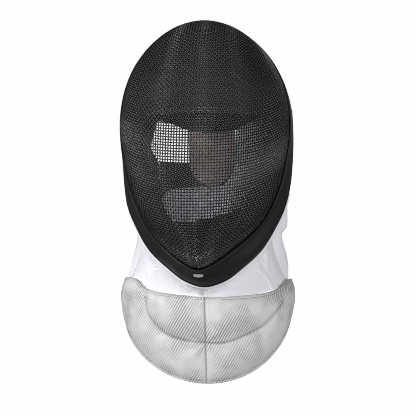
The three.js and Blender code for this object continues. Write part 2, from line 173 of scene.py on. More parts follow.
def smooth_line(points, closed=False):
    """A smooth curve through points, as a function of an array of places from 0 to 1."""
    points = np.array(points, float)
    count = len(points)
    ends = np.vstack([2 * points[0] - points[1], points, 2 * points[-1] - points[-2]])

    def at(place):
        row = np.mod(place, 1) * count if closed else np.clip(place, 0, 1) * (count - 1)
        below = np.floor(row).astype(int)
        below = below if closed else np.minimum(below, count - 2)
        share = (row - below)[..., None]
        a, b, c, d = (points[(below + k) % count] if closed else ends[below + k + 1]
                      for k in (-1, 0, 1, 2))

        def root_length(start, end):
            return np.maximum(np.linalg.norm(end - start, axis=-1, keepdims=True) ** 0.5, 1e-6)

        before, middle, after = root_length(a, b), root_length(b, c), root_length(c, d)
        leaving = ((b - a) / before - (c - a) / (before + middle) + (c - b) / middle) * middle
        arriving = ((c - b) / middle - (d - b) / (middle + after) + (d - c) / after) * middle
        cube, square = share**3, share**2
        return ((2 * cube - 3 * square + 1) * b + (cube - 2 * square + share) * leaving
                + (3 * square - 2 * cube) * c + (cube - square) * arriving)

    return at


def whole_rim(edge, shift=None):
    """A closed line round the rim: an edge of each row and its mirror image, moved by the shift."""
    left, right = ([(row.get(shift, 0) + sign * row[edge][0], *row[edge][1:]) for row in RIM]
                   for sign in (1, -1))
    return smooth_line(left + right[-2:0:-1], closed=True)


wire_rim = whole_rim("wire")
band_rim = whole_rim("band", "aside")
ROWS = len(RIM) - 1


def turn_at(place):
    """How far the mesh has turned from facing forward at a place on the rim, in radians."""
    half = np.minimum(np.mod(place, 1), 1 - np.mod(place, 1)) * 2 * ROWS
    return np.radians(np.interp(half, range(ROWS + 1), [row["turn"] for row in RIM]))


def dome(place, depth):
    """The mesh: place runs round the rim from the chin, depth from 0 at the nose to 1 at the rim."""
    turn = turn_at(place)
    edge = wire_rim(place)
    out = np.sin(depth * turn) / np.sin(turn)
    back = (1 - np.cos(depth * turn)) / (1 - np.cos(turn))
    return np.stack([
        edge[..., 0] * out,
        NOSE[1] + (edge[..., 1] - NOSE[1]) * back,
        NOSE[2] + (edge[..., 2] - NOSE[2]) * out], -1)


def placed(points):
    """Metres from the head seat, from millimetres from the ears and cheeks."""
    return (np.asarray(points) + (0, EARS, CHEEKS)) * MM


# A grid of the dome, on past the rim, on which spots are found. The net ends just inside its edge.
AROUND, OUTWARD, REACH = 240, 90, 1.16
NET_REACH = REACH - 0.03
places, depths = np.meshgrid(np.arange(AROUND) / AROUND, np.arange(1, OUTWARD + 1) / OUTWARD * REACH,
                             indexing="ij")
dome_corners = [Vector(corner) for corner in dome(places, depths).reshape(-1, 3)] + [Vector(NOSE)]
dome_faces, dome_depths = [], []
for i in range(AROUND):
    here, beside = i * OUTWARD, (i + 1) % AROUND * OUTWARD
    dome_faces.append((AROUND * OUTWARD, beside, here))
    dome_depths.append(0.0)
    for j in range(OUTWARD - 1):
        dome_faces.append((here + j, beside + j, beside + j + 1, here + j + 1))
        dome_depths.append((j + 1.5) / OUTWARD * REACH)
dome_tree = BVHTree.FromPolygons(dome_corners, dome_faces)


def on_dome(point):
    """The nearest spot of the dome, its normal and its depth."""
    spot, normal, face, _ = dome_tree.find_nearest(point)
    return spot, normal, dome_depths[face]


def centre_wire(direction):
    """Crossings from the nose to past the rim, one pitch apart and as straight as the dome lets them."""
    found = [on_dome(Vector(NOSE))[0]]
    heading = Vector(direction)
    while True:
        last = found[-1]
        guess = last + heading * WIRE["pitch"]
        for _ in range(3):
            spot, normal, depth = on_dome(guess)
            guess = last + (spot - last).normalized() * WIRE["pitch"]
        spot, normal, depth = on_dome(guess)
        if depth > NET_REACH:
            return found
        heading = spot - last
        heading = (heading - normal * heading.dot(normal)).normalized()
        found.append(spot)


KNOT_STEP = 2.0                 # mm that a crossing moves at most in one try


def knot(side, below, corner):
    """The crossing one pitch from both neighbours, on the far side from the corner behind it."""
    guess = side + below - corner
    pitch2 = WIRE["pitch"] ** 2
    for _ in range(6):
        spot, normal, _ = on_dome(guess)
        a, b = spot - side, spot - below
        east = normal.orthogonal().normalized()
        north = normal.cross(east)
        m = [[2 * a.dot(east), 2 * a.dot(north)], [2 * b.dot(east), 2 * b.dot(north)]]
        short = [pitch2 - a.length_squared, pitch2 - b.length_squared]
        size = m[0][0] * m[1][1] - m[0][1] * m[1][0]
        if abs(size) < 0.2 * pitch2:
            break
        x = (short[0] * m[1][1] - m[0][1] * short[1]) / size
        y = (m[0][0] * short[1] - short[0] * m[1][0]) / size
        guess = spot + (east * x + north * y) * min(1, KNOT_STEP / max(math.hypot(x, y), 1e-9))
    return on_dome(guess)[0]


net = {}
for east, up in ((0, 1), (0, -1), (1, 0), (-1, 0)):
    for count, spot in enumerate(centre_wire((east, 0, up))):
        net[east * count, up * count] = spot
widest = max(abs(i) for i, j in net)
tallest = max(abs(j) for i, j in net)
for right in (1, -1):
    for up in (1, -1):
        for i in range(1, widest + 1):
            for j in range(1, tallest + 1):
                side, below, corner = (net.get((right * (i - across), up * (j - down)))
                                       for across, down in ((1, 0), (0, 1), (1, 1)))
                if side is None or below is None or corner is None:
                    continue
                spot = knot(side, below, corner)
                if on_dome(spot)[2] < NET_REACH:
                    net[right * i, up * j] = spot


def threads(name, lines, radius, sides=6):
    """Round threads of one radius along lines of points in millimetres, joined as one mesh."""
    curve = bpy.data.curves.new(name, "CURVE")
    curve.dimensions = "3D"
    curve.bevel_depth = radius * MM
    curve.bevel_resolution = sides // 2 - 2
    for line in lines:
        spline = curve.splines.new("POLY")
        spline.points.add(len(line) - 1)
        spots = placed(line)
        spline.points.foreach_set("co", np.column_stack([spots, np.ones(len(spots))]).ravel())
    shape = put(name, curve)
    bpy.context.view_layer.update()
    data = bpy.data.meshes.new_from_object(shape.evaluated_get(bpy.context.evaluated_depsgraph_get()))
    tubes = bmesh.new()
    tubes.from_mesh(data)
    bpy.data.objects.remove(shape)
    bpy.data.curves.remove(curve)
    bpy.data.meshes.remove(data)
    bmesh.ops.holes_fill(tubes, edges=[edge for edge in tubes.edges if edge.is_boundary])
    return made(name, tubes)


def wires(over, along_z):
    """The wires of one set: runs of crossings, each lifted over or pushed under the other set, and
    where a painted highlight goes, which is where it is lifted and clear of the trim."""
    runs, glint_rows = [], []
    longest = max(widest, tallest)
    for number in range(-longest, longest + 1):
        run, glints = [], []
        for count in range(-longest, longest + 2):
            i, j = (number, count) if along_z else (count, number)
            spot = net.get((i, j))
            here = None if spot is None else on_dome(spot)
            if here is None or here[2] > NET_EDGE:
                if len(run) > 1:
                    runs.append(np.array(run))
                    glint_rows.append(glints)
                run, glints = [], []
                continue
            lifted = (i + j) % 2 == over
            glints.append(lifted and here[2] < GLINT_TO)
            run.append(here[0] + here[1] * WIRE["crimp"] * (1 if lifted else -1))
    return runs, glint_rows


def mark_wires(piece, glint_rows):
    """Marks the painted highlights where each wire passes over another, and unrolls the wires as strips for
    their finish.
    """
    sides = WIRE["sides"]
    data = piece.data
    over = data.attributes.new("knuckle", "FLOAT", "POINT")
    over.data.foreach_set("value", np.repeat(np.concatenate(glint_rows).astype(float), sides))
    ring = np.concatenate([np.arange(len(glints)) for glints in glint_rows])
    wire = np.concatenate([np.full(len(glints), number) for number, glints in enumerate(glint_rows)])
    corners = np.empty(len(data.loops), int)
    data.loops.foreach_get("vertex_index", corners)
    starts = np.empty(len(data.polygons), int)
    data.polygons.foreach_get("loop_start", starts)
    face = np.searchsorted(starts, np.arange(len(corners)), side="right") - 1
    side = (corners % sides).astype(float)
    wraps = np.zeros(len(starts), bool)
    wraps[face[side == sides - 1]] = True
    side[(side == 0) & wraps[face]] = sides
    unrolled = data.uv_layers.new(name="OFBake")
    unrolled.data.foreach_set("uv", np.column_stack([
        (ring[corners // sides] + 0.5) / (ring.max() + 1),
        (wire[corners // sides] + side / sides * 0.9) / len(glint_rows)]).ravel())


class Field:
    """One shader socket. A sum written with it adds the Math nodes that work it out."""

    def __init__(self, tree, socket):
        self.tree = tree
        self.socket = socket

    def math(self, operation, *others):
        node = self.tree.nodes.new("ShaderNodeMath")
        node.operation = operation
        for socket, value in zip(node.inputs, (self, *others)):
            if isinstance(value, Field):
                self.tree.links.new(value.socket, socket)
            else:
                socket.default_value = value
        return Field(self.tree, node.outputs[0])

    def __add__(self, other):
        return self.math("ADD", other)

    def __mul__(self, other):
        return self.math("MULTIPLY", other)

    def __sub__(self, other):
        return self.math("SUBTRACT", other)

    def __pow__(self, other):
        return self.math("POWER", other)

    def __rsub__(self, other):
        return self * -1 + other

    __radd__ = __add__
    __rmul__ = __mul__

    def waves(self, period):
        """Waves from 0 to 1, that far apart."""
        return (self * (2 * math.pi / period)).math("SINE") * 0.5 + 0.5


class Finish:
    """A material in the making: a Principled shader with fixed values, and what varies over it."""

    def __init__(self, name, colour, roughness, **fixed):
        self.material = bpy.data.materials.new(name)
        self.material.use_nodes = True
        self.tree = self.material.node_tree
        self.shader = self.tree.nodes["Principled BSDF"]
        self.shader.inputs["Base Color"].default_value = (*colour, 1)
        self.shader.inputs["Roughness"].default_value = roughness
        for socket, value in fixed.items():
            self.shader.inputs[socket.replace("_", " ")].default_value = value

    def node(self, kind, settings=None, inputs=None, out=0):
        node = self.tree.nodes.new("ShaderNode" + kind)
        for setting, value in (settings or {}).items():
            setattr(node, setting, value)
        for socket, value in (inputs or {}).items():
            if isinstance(value, Field):
                self.tree.links.new(value.socket, node.inputs[socket])
            else:
                node.inputs[socket].default_value = value
        return Field(self.tree, node.outputs[out])

    def spots(self):
        return self.node("TexCoord", out="Object")

    def cloth(self):
        """Millimetres across and along the cloth, from the piece's own map."""
        return [self.node("SeparateXYZ", {}, {"Vector": self.node("UVMap", {"uv_map": "cloth"})}, out=axis)
                for axis in ("X", "Y")]

    def noise(self, where, scale, detail=2.0, roughness=0.5):
        return self.node("TexNoise", {}, {"Vector": where, "Scale": scale, "Detail": detail,
                                          "Roughness": roughness})

    def blend(self, share, low, high):
        """A colour between two, by a share from 0 to 1."""
        return self.node("Mix", {"data_type": "RGBA", "clamp_factor": True},
                         {"Factor": share, 6: (*low, 1), 7: (*high, 1)}, out=2)

    def feed(self, socket, field):
        self.tree.links.new(field.socket, self.shader.inputs[socket])

    def relief(self, height, depth_mm, sunk=False):
        """Bumps of a height field from 0 to 1, which is that deep, or hollows where it is sunk."""
        bump = self.node("Bump", {"invert": sunk}, {
            "Strength": 1.0, "Distance": depth_mm * MM, "Height": height})
        self.feed("Normal", bump)


def fit(piece, finish, node):
    """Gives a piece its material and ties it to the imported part."""
    piece.data.materials.append(finish.material)
    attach(piece, "root")
    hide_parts(node)


enamel = Finish("black enamel on steel wire", (0.005, 0.005, 0.006), 0.3, Specular_IOR_Level=0.22)
# Painted highlight: the base colour turns pale grey on each knuckle that passes over another wire and is
# clear of the trim, standing in for its glint.
painted_knuckle_glint = enamel.node("Attribute", {"attribute_name": "knuckle"}, out="Fac") ** 4
dull = enamel.noise(enamel.spots(), 300.0, 3.0)
enamel.feed("Base Color", enamel.blend(
    painted_knuckle_glint * (dull * 0.6 + 0.7), (0.002, 0.002, 0.0025), (0.8, 0.8, 0.81)))
enamel.feed("Roughness", dull * 0.15 + 0.12)

for name, over, along_z in (("upright_wires", 0, True), ("level_wires", 1, False)):
    runs, glint_rows = wires(over, along_z)
    wire_set = threads(name, runs, WIRE["radius"], WIRE["sides"])
    mark_wires(wire_set, glint_rows)
    fit(wire_set, enamel, "wire_mesh")

# ------------------------------------------------------------------ trim
# A moulded black band folded over the edge of the mesh. It has a flange on the wires that ends in
# a fold, a broad smooth face and a rolled outer edge.

# lap: share of the mesh that it covers. lift: above the wires. fold, proud: its bend outwards.
TRIM = {"lap": 0.045, "lift": 3.0, "half": 1.25, "fold": 0.55, "proud": 0.8}
# Height of the face above the middle of the band, in mm, from the lip to the rolled edge.
TRIM_RELIEF = [
    {"at": 0.00, "height": -0.9},
    {"at": 0.02, "height": 0.4},
    {"at": 0.06, "height": 0.75},
    {"at": 0.20, "height": 1.2},
    {"at": 0.33, "height": 1.85},
    {"at": 0.36, "height": 1.9},
    {"at": 0.40, "height": 1.1},
    {"at": 0.60, "height": 1.6},
    {"at": 0.84, "height": 1.2},
    {"at": 0.90, "height": 0.8},
    {"at": 0.95, "height": 1.7},
    {"at": 0.985, "height": 1.2},
    {"at": 1.00, "height": -0.6},
]


def facing(sheet, u, v):
    """Unit normals of a sheet, on its outer side."""
    step = 2e-3
    along = sheet(u + step, v) - sheet(u - step, v)
    down = sheet(u, v + step) - sheet(u, v - step)
    normal = np.cross(down, along)
    return normal / np.maximum(np.linalg.norm(normal, axis=-1, keepdims=True), 1e-9)


def wall(name, space, across, along, grain, ring=False):
    """A closed wall. space gives points for arrays from 0 to 1 across, along and through it, and
    grain its rough size in mm, which the cloth's own map is scaled to."""
    bm = bmesh.new()
    cloth = bm.loops.layers.uv.new("cloth")
    bmesh.ops.create_grid(bm, x_segments=across, y_segments=along, size=0.5)
    pulled = bmesh.ops.extrude_face_region(bm, geom=bm.faces[:])["geom"]
    bmesh.ops.translate(
        bm, verts=[part for part in pulled if isinstance(part, bmesh.types.BMVert)], vec=(0, 0, 1))
    bmesh.ops.translate(bm, verts=bm.verts, vec=(0.5, 0.5, 0))
    if ring:
        ends = [face for face in bm.faces if abs(face.normal.x) > 0.9]
        bmesh.ops.delete(bm, geom=ends, context="FACES")
    for face in bm.faces:
        for loop in face.loops:
            loop[cloth].uv = (loop.vert.co.x * grain[0], (1 - loop.vert.co.y) * grain[1])
    spots = np.array([vert.co for vert in bm.verts])
    solid = placed(space(spots[:, 0], 1 - spots[:, 1], spots[:, 2]))
    for vert, spot in zip(bm.verts, solid):
        vert.co = spot
    if ring:
        bmesh.ops.remove_doubles(bm, verts=bm.verts, dist=1e-6)
    bmesh.ops.recalc_face_normals(bm, faces=bm.faces)
    if bm.calc_volume(signed=True) < 0:         # on a bent wall they can all come out inwards
        bmesh.ops.reverse_faces(bm, faces=bm.faces)
    return made(name, bm)


def between(sheet, outer, inner):
    """The space between two distances from a sheet. A distance may be a function of u and v."""

    def space(u, v, w):
        far = outer(u, v) if callable(outer) else outer
        near = inner(u, v) if callable(inner) else inner
        return sheet(u, v) + facing(sheet, u, v) * (far + (near - far) * w)[..., None]

    return space


def smooth_rows(spots, place):
    """A smooth way through rows of spots, from the first row at place 0 to the last at 1."""
    last = len(spots) - 1
    spots = [2 * spots[0] - spots[1], *spots, 2 * spots[-1] - spots[-2]]
    row = np.clip(place, 0, 1) * last
    below = np.minimum(np.floor(row), last - 1)
    share = (row - below)[..., None]
    found = 0
    for number in range(last):
        a, b, c, d = spots[number:number + 4]
        piece = 0.5 * (2 * b + (c - a) * share + (2 * a - 5 * b + 4 * c - d) * share**2
                       + (3 * b - a - 3 * c + d) * share**3)
        found = found + piece * (below == number)[..., None]
    return found


def band(place, across):
    """The middle of the trim: from the wires, over their ends and on to the outer edge."""
    lifted = [dome(place, depth) + facing(dome, place, depth) * TRIM["lift"]
              for depth in (np.full_like(place, 1 - TRIM["lap"]), np.ones_like(place))]
    outside = band_rim(place)
    outward = facing(dome, place, np.ones_like(place))
    bend = outside * TRIM["fold"] + lifted[1] * (1 - TRIM["fold"]) + outward * TRIM["proud"]
    return smooth_rows([*lifted, bend, outside], across)


def trim_face(place, across):
    return np.interp(across, [row["at"] for row in TRIM_RELIEF], [row["height"] for row in TRIM_RELIEF])


trim = wall("trim_band", between(band, trim_face, -TRIM["half"]), 240, 64, (800, 38), ring=True)
rubber = Finish("black moulded trim", (0.009, 0.009, 0.01), 0.45, Specular_IOR_Level=0.3)
grainy = rubber.noise(rubber.spots(), 900.0, 3.0)
scuffs = rubber.noise(rubber.spots(), 60.0, 4.0)
rubber.feed("Roughness", grainy * 0.1 + scuffs * 0.16 + 0.42)
rubber.relief(grainy + scuffs * 0.6, 0.05)
fit(trim, rubber, "rim_trim")

# A black steel strip, spot welded to the ends of the wires, stiffens the edge and meets the trim.
EDGE_STRIP = {"from": 0.93, "half": 0.6, "rise": 1.3}


def edge_of_mesh(place, across):
    return dome(place, EDGE_STRIP["from"] + (1 - EDGE_STRIP["from"]) * across)


def strip_outside(place, across):
    """It is thicker under the trim, which it touches."""
    return EDGE_STRIP["half"] + EDGE_STRIP["rise"] * np.clip(across * 2.5 - 1, 0, 1)


strip_round = wall("edge_strip", between(edge_of_mesh, strip_outside, -EDGE_STRIP["half"]), 200, 8,
                   (800, 8), ring=True)
# Partly painted shade: the strip and its black coat are real, but its near-black, almost glossless finish
# also stands in for the shadow line between the wires and the trim.
matt_black_shade = Finish("matt black, painted shade line", (0.003, 0.003, 0.003), 0.95, Specular_IOR_Level=0.08)
fit(strip_round, matt_black_shade, "wire_mesh")

# ------------------------------------------------------------------ badge
# A blank half-round plate of satin metal, let into the trim under the chin.

BADGE = {"half_width": 5.9, "height": 3.6, "flat_top": 0.28, "thick": 0.9, "rim": 0.55, "dish": 0.25,
         "lift": 1.57}
badge_spot = np.array([-0.0004]), np.array([0.395])         # place and way across on the trim
seat = band(*badge_spot)[0]
seat_out = facing(band, *badge_spot)[0]
plate_mesh = bmesh.new()
bmesh.ops.create_circle(plate_mesh, cap_ends=True, segments=40, radius=1)
bmesh.ops.scale(plate_mesh, verts=plate_mesh.verts, vec=(BADGE["half_width"], BADGE["height"], 1))
for vert in plate_mesh.verts:
    vert.co.y = vert.co.y if vert.co.y < 0 else vert.co.y * BADGE["flat_top"]
lifted_part = bmesh.ops.extrude_face_region(plate_mesh, geom=plate_mesh.faces[:])["geom"]
bmesh.ops.translate(plate_mesh, verts=[part for part in lifted_part if isinstance(part, bmesh.types.BMVert)],
                    vec=(0, 0, BADGE["thick"]))
plate_top = [face for face in plate_mesh.faces if face.normal.z > 0.9]
bmesh.ops.inset_region(plate_mesh, faces=plate_top, thickness=BADGE["rim"], depth=0)
plate_top = [face for face in plate_mesh.faces if face.normal.z > 0.9 and len(face.verts) > 4]
bmesh.ops.inset_region(plate_mesh, faces=plate_top, thickness=BADGE["dish"], depth=-BADGE["dish"])
bmesh.ops.recalc_face_normals(plate_mesh, faces=plate_mesh.faces)
turned = Vector(seat_out).to_track_quat("Z", "Y").to_matrix()
bmesh.ops.rotate(plate_mesh, cent=(0, 0, 0), matrix=turned, verts=plate_mesh.verts)
bmesh.ops.translate(plate_mesh, verts=plate_mesh.verts, vec=seat + seat_out * BADGE["lift"])
bmesh.ops.translate(plate_mesh, verts=plate_mesh.verts, vec=(0, EARS, CHEEKS))
bmesh.ops.scale(plate_mesh, verts=plate_mesh.verts, vec=(MM, MM, MM))
satin = Finish("satin nickel plate", (0.8, 0.785, 0.74), 0.45, Metallic=0.4)
brushed_metal = satin.noise(satin.spots(), 1500.0)
satin.feed("Roughness", brushed_metal * 0.2 + 0.38)
fit(made("badge_plate", plate_mesh, smooth=False), satin, "badge")

# ------------------------------------------------------------------ crown, side and chin pads
# Foam pads in brushed black cloth, pressed against the inside of the mesh. Each is fullest in the
# middle and thins to a sewn edge.

# from, to: along the rows of the rim. line: height in mm of its edge on the mesh, and its slope.
PADS = {
    "crown": {"from": 9.15, "to": 2 * ROWS - 9.15, "line": (107.0, 0.0), "thick": 14.0, "grid": (110, 40)},
    "chin": {"from": -3.6, "to": 3.6, "line": (-17.5, 0.06), "thick": 15.0, "grid": (60, 24)},
    "left": {"from": 3.8, "to": 8.6, "line": None, "thick": 8.0, "grid": (48, 20)},
    "right": {"from": 2 * ROWS - 8.6, "to": 2 * ROWS - 3.8, "line": None, "thick": 8.0, "grid": (48, 20)},
}
PAD_GAP = 2.3                   # from the middle of the wires to the cloth
SIDE_PAD_FRONT = 0.8            # depth on the mesh where the side pads start
PAD_BACK = 0.97                 # and where every pad ends
# rim_u, rim_v: shares of the pad over which it fills out. front, edge, full: shares of its thickness.
PILLOW = {"rim_u": 1 / 16, "rim_v": 1 / 8, "cloth": 1.6, "front": 0.22, "edge": 0.2, "full": 0.66}


def depth_at_height(place, height):
    """The depth on the mesh at which it reaches a height."""
    turn = turn_at(place)
    share = (height - NOSE[2]) / (wire_rim(place)[..., 2] - NOSE[2])
    return np.arcsin(np.clip(share * np.sin(turn), 0, np.sin(turn) * 0.999)) / turn


def lining(pad):
    """The part of the mesh that a pad lies on."""

    def sheet(u, v):
        place = (pad["from"] + (pad["to"] - pad["from"]) * u) / (2 * ROWS)
        start = SIDE_PAD_FRONT
        if pad["line"]:
            height, tilt = pad["line"]
            start = depth_at_height(place, height + tilt * wire_rim(place)[..., 0])
        return dome(place, start + (PAD_BACK - start) * v)

    return sheet


def pillow(thick):
    """Outer and inner distances of a pad that thins to a sewn edge all round."""

    def fullness(u, v):
        edge = np.minimum(np.minimum(u, 1 - u) / PILLOW["rim_u"], np.minimum(v, 1 - v) / PILLOW["rim_v"])
        return np.clip(edge, 0, 1) ** 0.45

    def outer(u, v):
        return -PAD_GAP - (1 - fullness(u, v)) * thick * PILLOW["front"]

    def inner(u, v):
        return -PAD_GAP - PILLOW["cloth"] - thick * (PILLOW["edge"] + PILLOW["full"] * fullness(u, v))

    return outer, inner


def brushed(name, dark, light, sunk=False):
    finish = Finish(name, light, 0.95, Specular_IOR_Level=0.2)
    nap = finish.noise(finish.spots(), 1400.0, 4.0, 0.7)
    patches = finish.noise(finish.spots(), 40.0, 3.0)
    finish.feed("Base Color", finish.blend(nap * 0.6 + patches * 0.4, dark, light))
    finish.relief(nap, 0.35, sunk)
    return finish


padding = brushed("brushed black cloth", (0.003, 0.003, 0.0035), (0.014, 0.014, 0.015), sunk=True)
# Painted light: the crown pad is the same black cloth as the other pads, painted dark grey as though lit by
# the light that falls through the mesh onto it.
lit_pad_cloth = brushed("brushed black cloth painted lit", (0.055, 0.055, 0.056), (0.13, 0.13, 0.133))

for side, pad in PADS.items():
    name = f"{side}_pad_foam"
    foam = wall(name, between(lining(pad), *pillow(pad["thick"])), *pad["grid"], (250, 150))
    fit(foam, lit_pad_cloth if side == "crown" else padding,
        {"crown": "crown_pad", "chin": "chin_pad"}.get(side, f"side_pad_{side}"))

# ------------------------------------------------------------------ hood at the back of the head
# A panel of the same black cloth closes the top of the back. It hangs from the rim over a thin
# foam, with two sewn tucks, and ends in a bound hem.

HOOD = [
    {"rim": (-90, 21, 159), "middle": (-82, 34, 138), "hem": (-76, 40, 115)},
    {"rim": (-62, 23, 194), "middle": (-58, 50, 156), "hem": (-53, 60, 112)},
    {"rim": (-30, 24, 211), "middle": (-30, 66, 166), "hem": (-27, 77, 103)},
    {"rim": (0, 24, 215), "middle": (0, 71, 169), "hem": (0, 81, 101)},
    {"rim": (30, 24, 211), "middle": (30, 66, 166), "hem": (27, 77, 103)},
    {"rim": (62, 23, 194), "middle": (58, 50, 156), "hem": (53, 60, 112)},
    {"rim": (90, 21, 159), "middle": (82, 34, 140), "hem": (76, 40, 122)},
]
HOOD_TUCKS = {"aside": 0.2, "wide": 0.012, "deep": 1.1}
HOOD_HEM = {"down": 0.965, "wide": 0.02, "rise": 0.8}
hood_lines = [smooth_line([row[line] for row in HOOD]) for line in ("rim", "middle", "hem")]


def arc(start, middle, end, share):
    """A bend from start to end that passes through middle half way."""
    share = share[..., None]
    pull = 2 * middle - (start + end) / 2
    return (1 - share) ** 2 * start + 2 * share * (1 - share) * pull + share**2 * end


def hood(u, v):
    start, middle, end = (line(1 - u) for line in hood_lines)
    return arc(start, middle, end, v)


def ridge(off, wide=1.0):
    """1 where off is 0, and falling smoothly to about a third at this width."""
    return np.exp(-(off / wide) ** 2)


def hood_outside(u, v):
    tucks = HOOD_TUCKS["deep"] * ridge(np.abs(u - 0.5) - HOOD_TUCKS["aside"], HOOD_TUCKS["wide"])
    hem = HOOD_HEM["rise"] * ridge(v - HOOD_HEM["down"], HOOD_HEM["wide"])
    return 0.9 * np.sin(np.pi * np.clip(v, 0, 1)) ** 0.5 - tucks + hem


back_hood = wall("hood_panel", between(hood, hood_outside, -2.6), 120, 50, (230, 120))
fit(back_hood, padding, "back_hood")

STITCH = {"pitch": 3.3, "radius": 0.26}
# Spots of one stitch, as shares of the pitch from its middle, and how far they stand proud in mm.
STITCH_SHAPE = [(-0.3, -0.35), (-0.2, 0.1), (0.0, 0.2), (0.2, 0.1), (0.3, -0.35)]


def run_along(spots):
    """How far along a line of spots each of them is."""
    return np.concatenate([[0], np.cumsum(np.linalg.norm(np.diff(spots, axis=0), axis=1))])


def sew(name, node, thread, seams):
    """Rows of stitches. Each seam is a sheet, the height of the cloth over it, and places u and v."""
    along, proud = np.array(STITCH_SHAPE).T
    lines = []
    for sheet, height, u, v in seams:
        track = run_along(sheet(u, v))
        for middle in np.arange(STITCH["pitch"], track[-1], STITCH["pitch"]):
            here = [np.interp(middle + along * STITCH["pitch"], track, places) for places in (u, v)]
            level = height(*here)
            lines.append(sheet(*here) + facing(sheet, *here) * (level + np.sign(level) * proud)[:, None])
    seam = threads(name, lines, STITCH["radius"])
    fit(seam, thread, node)
    return seam


ALONG = np.linspace(0.03, 0.97, 300)
black_thread = Finish("black thread", (0.05, 0.05, 0.052), 0.6)
sew("hood_stitches", "back_hood", black_thread, [(hood, hood_outside, ALONG, ALONG * 0 + 0.93)])

# ------------------------------------------------------------------ spring tongue and its rivets
# A strip of spring steel riveted under the crown. It bends down behind the head and grips it.

TONGUE_LINE = [
    (0, 33, 221), (0, 52, 211), (0, 76, 182), (0, 91, 140), (0, 98, 95), (0, 100, 62), (0, 99, 30)]
TONGUE = {"width": 26.0, "sheet": 1.5, "end": 0.8, "cover": 64.0, "cover_from": 0.36, "taper": 0.16}
tongue_line = smooth_line(TONGUE_LINE)
even = np.linspace(0, 1, 400)
run = run_along(tongue_line(even))
TONGUE_LENGTH = run[-1]


def on_tongue(share):
    """A point of the tongue's middle line, by its share of the length."""
    return tongue_line(np.interp(share * TONGUE_LENGTH, run, even))


def strip(width, start, end, corner, shoulder=0.01):
    """A strip of a width along the tongue, with a rounded lower end and small upper corners."""

    def sheet(u, v):
        spot = on_tongue(start + (end - start) * v)
        past = np.clip((v - 1 + corner) / corner, 0, 1)
        before = np.clip((shoulder - v) / shoulder, 0, 1)
        rounded = np.sqrt(np.maximum(1 - past**2, 0.02)) * (1 - TONGUE["taper"] * before**2)
        spot[..., 0] = (0.5 - u) * width * rounded
        return spot

    return sheet


def rounded_wall(low, high):
    """Distances of a strip's two faces, which close in towards its long edges."""

    def fullness(u):
        return (high - low) * (0.5 + 0.5 * np.clip(np.minimum(u, 1 - u) * 8, 0, 1) ** 0.5)

    return lambda u, v: low + fullness(u), lambda u, v: high - fullness(u)


spring_sheet = strip(TONGUE["width"], 0.01, TONGUE["end"], 0.06)
spring = wall("spring_strip", between(spring_sheet, *rounded_wall(0, TONGUE["sheet"])), 16, 90, (26, 190))
steel = Finish("satin spring steel", (0.42, 0.43, 0.45), 0.32, Metallic=1.0)
brush = steel.node("Mapping", {}, {"Vector": steel.spots(), "Scale": (3500.0, 120.0, 120.0)})
streaks = steel.noise(brush, 1.0, 4.0)
steel.feed("Roughness", streaks * 0.25 + 0.2)
steel.relief(streaks, 0.02)
fit(spring, steel, "spring_tongue")

# A rivet head from its crown to its seat, as radius and height, and how far it sits below its middle.
RIVET = [(0.0, 1.7), (1.6, 1.6), (2.8, 1.2), (3.5, 0.5), (3.6, 0.1), (3.6, 0.0), (0.0, 0.0)]
RIVET_SUNK = 0.8
for side in ("left", "right"):
    head = bmesh.new()
    profile = [head.verts.new((radius, 0, height)) for radius, height in RIVET]
    edges = [head.edges.new(pair) for pair in zip(profile, profile[1:])]
    bmesh.ops.spin(head, geom=profile + edges, cent=(0, 0, 0), axis=(0, 0, 1), angle=2 * math.pi,
                   steps=28, use_merge=True)
    bmesh.ops.remove_doubles(head, verts=head.verts, dist=1e-4)
    bmesh.ops.recalc_face_normals(head, faces=head.faces)
    low, high = (Vector(corner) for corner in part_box(f"tongue_rivet_{side}"))
    lean = Vector(facing(spring_sheet, np.array([0.5]), np.array([0.05]))[0])
    bmesh.ops.rotate(head, cent=(0, 0, 0), matrix=lean.to_track_quat("Z", "Y").to_matrix(), verts=head.verts)
    bmesh.ops.scale(head, verts=head.verts, vec=(MM, MM, MM))
    bmesh.ops.translate(head, verts=head.verts, vec=(low + high) / 2 - lean * RIVET_SUNK * MM)
    fit(made(f"rivet_{side}", head), steel, f"tongue_rivet_{side}")

# ------------------------------------------------------------------ tongue cover
# A padded sleeve of beige suede on the head's side of the tongue, with a sewn border.

# In mm. reach: how far in from the edge it is full. seam: how far in the border is sewn.
COVER = {"length": 163.0, "thin": 2.6, "full": 5.2, "reach": 16.0, "groove": 0.9, "seam": 5.0}
cover_sheet = strip(TONGUE["cover"], TONGUE["cover_from"], 1.0, 0.3, shoulder=0.06)


def cover_inner(u, v):
    """The side against the head, full in the middle, with a groove where the border is sewn."""
    rim_u = np.minimum(u, 1 - u) * TONGUE["cover"]
    rim_v = np.minimum(v, 1 - v) * TONGUE_LENGTH * (1 - TONGUE["cover_from"])
    rim = np.minimum(rim_u, rim_v)
    full = COVER["full"] * np.clip(rim / COVER["reach"], 0, 1) ** 0.6
    return -COVER["thin"] - full + COVER["groove"] * ridge(rim - COVER["seam"], 0.9)


cover = wall("suede_cover", between(cover_sheet, -0.5, cover_inner), 64, 120, (64, 135))
suede = Finish("beige suede", (0.55, 0.42, 0.39), 0.92, Sheen_Weight=0.2, Sheen_Roughness=0.4)
fuzz = suede.noise(suede.spots(), 1800.0, 4.0, 0.7)
rubbed = suede.noise(suede.spots(), 55.0, 4.0)
suede.feed("Base Color", suede.blend(fuzz * 0.5 + rubbed * 0.6, (0.62, 0.46, 0.42), (0.92, 0.76, 0.71)))
suede.relief(fuzz + rubbed * 0.5, 0.3, sunk=True)
fit(cover, suede, "tongue_cover")

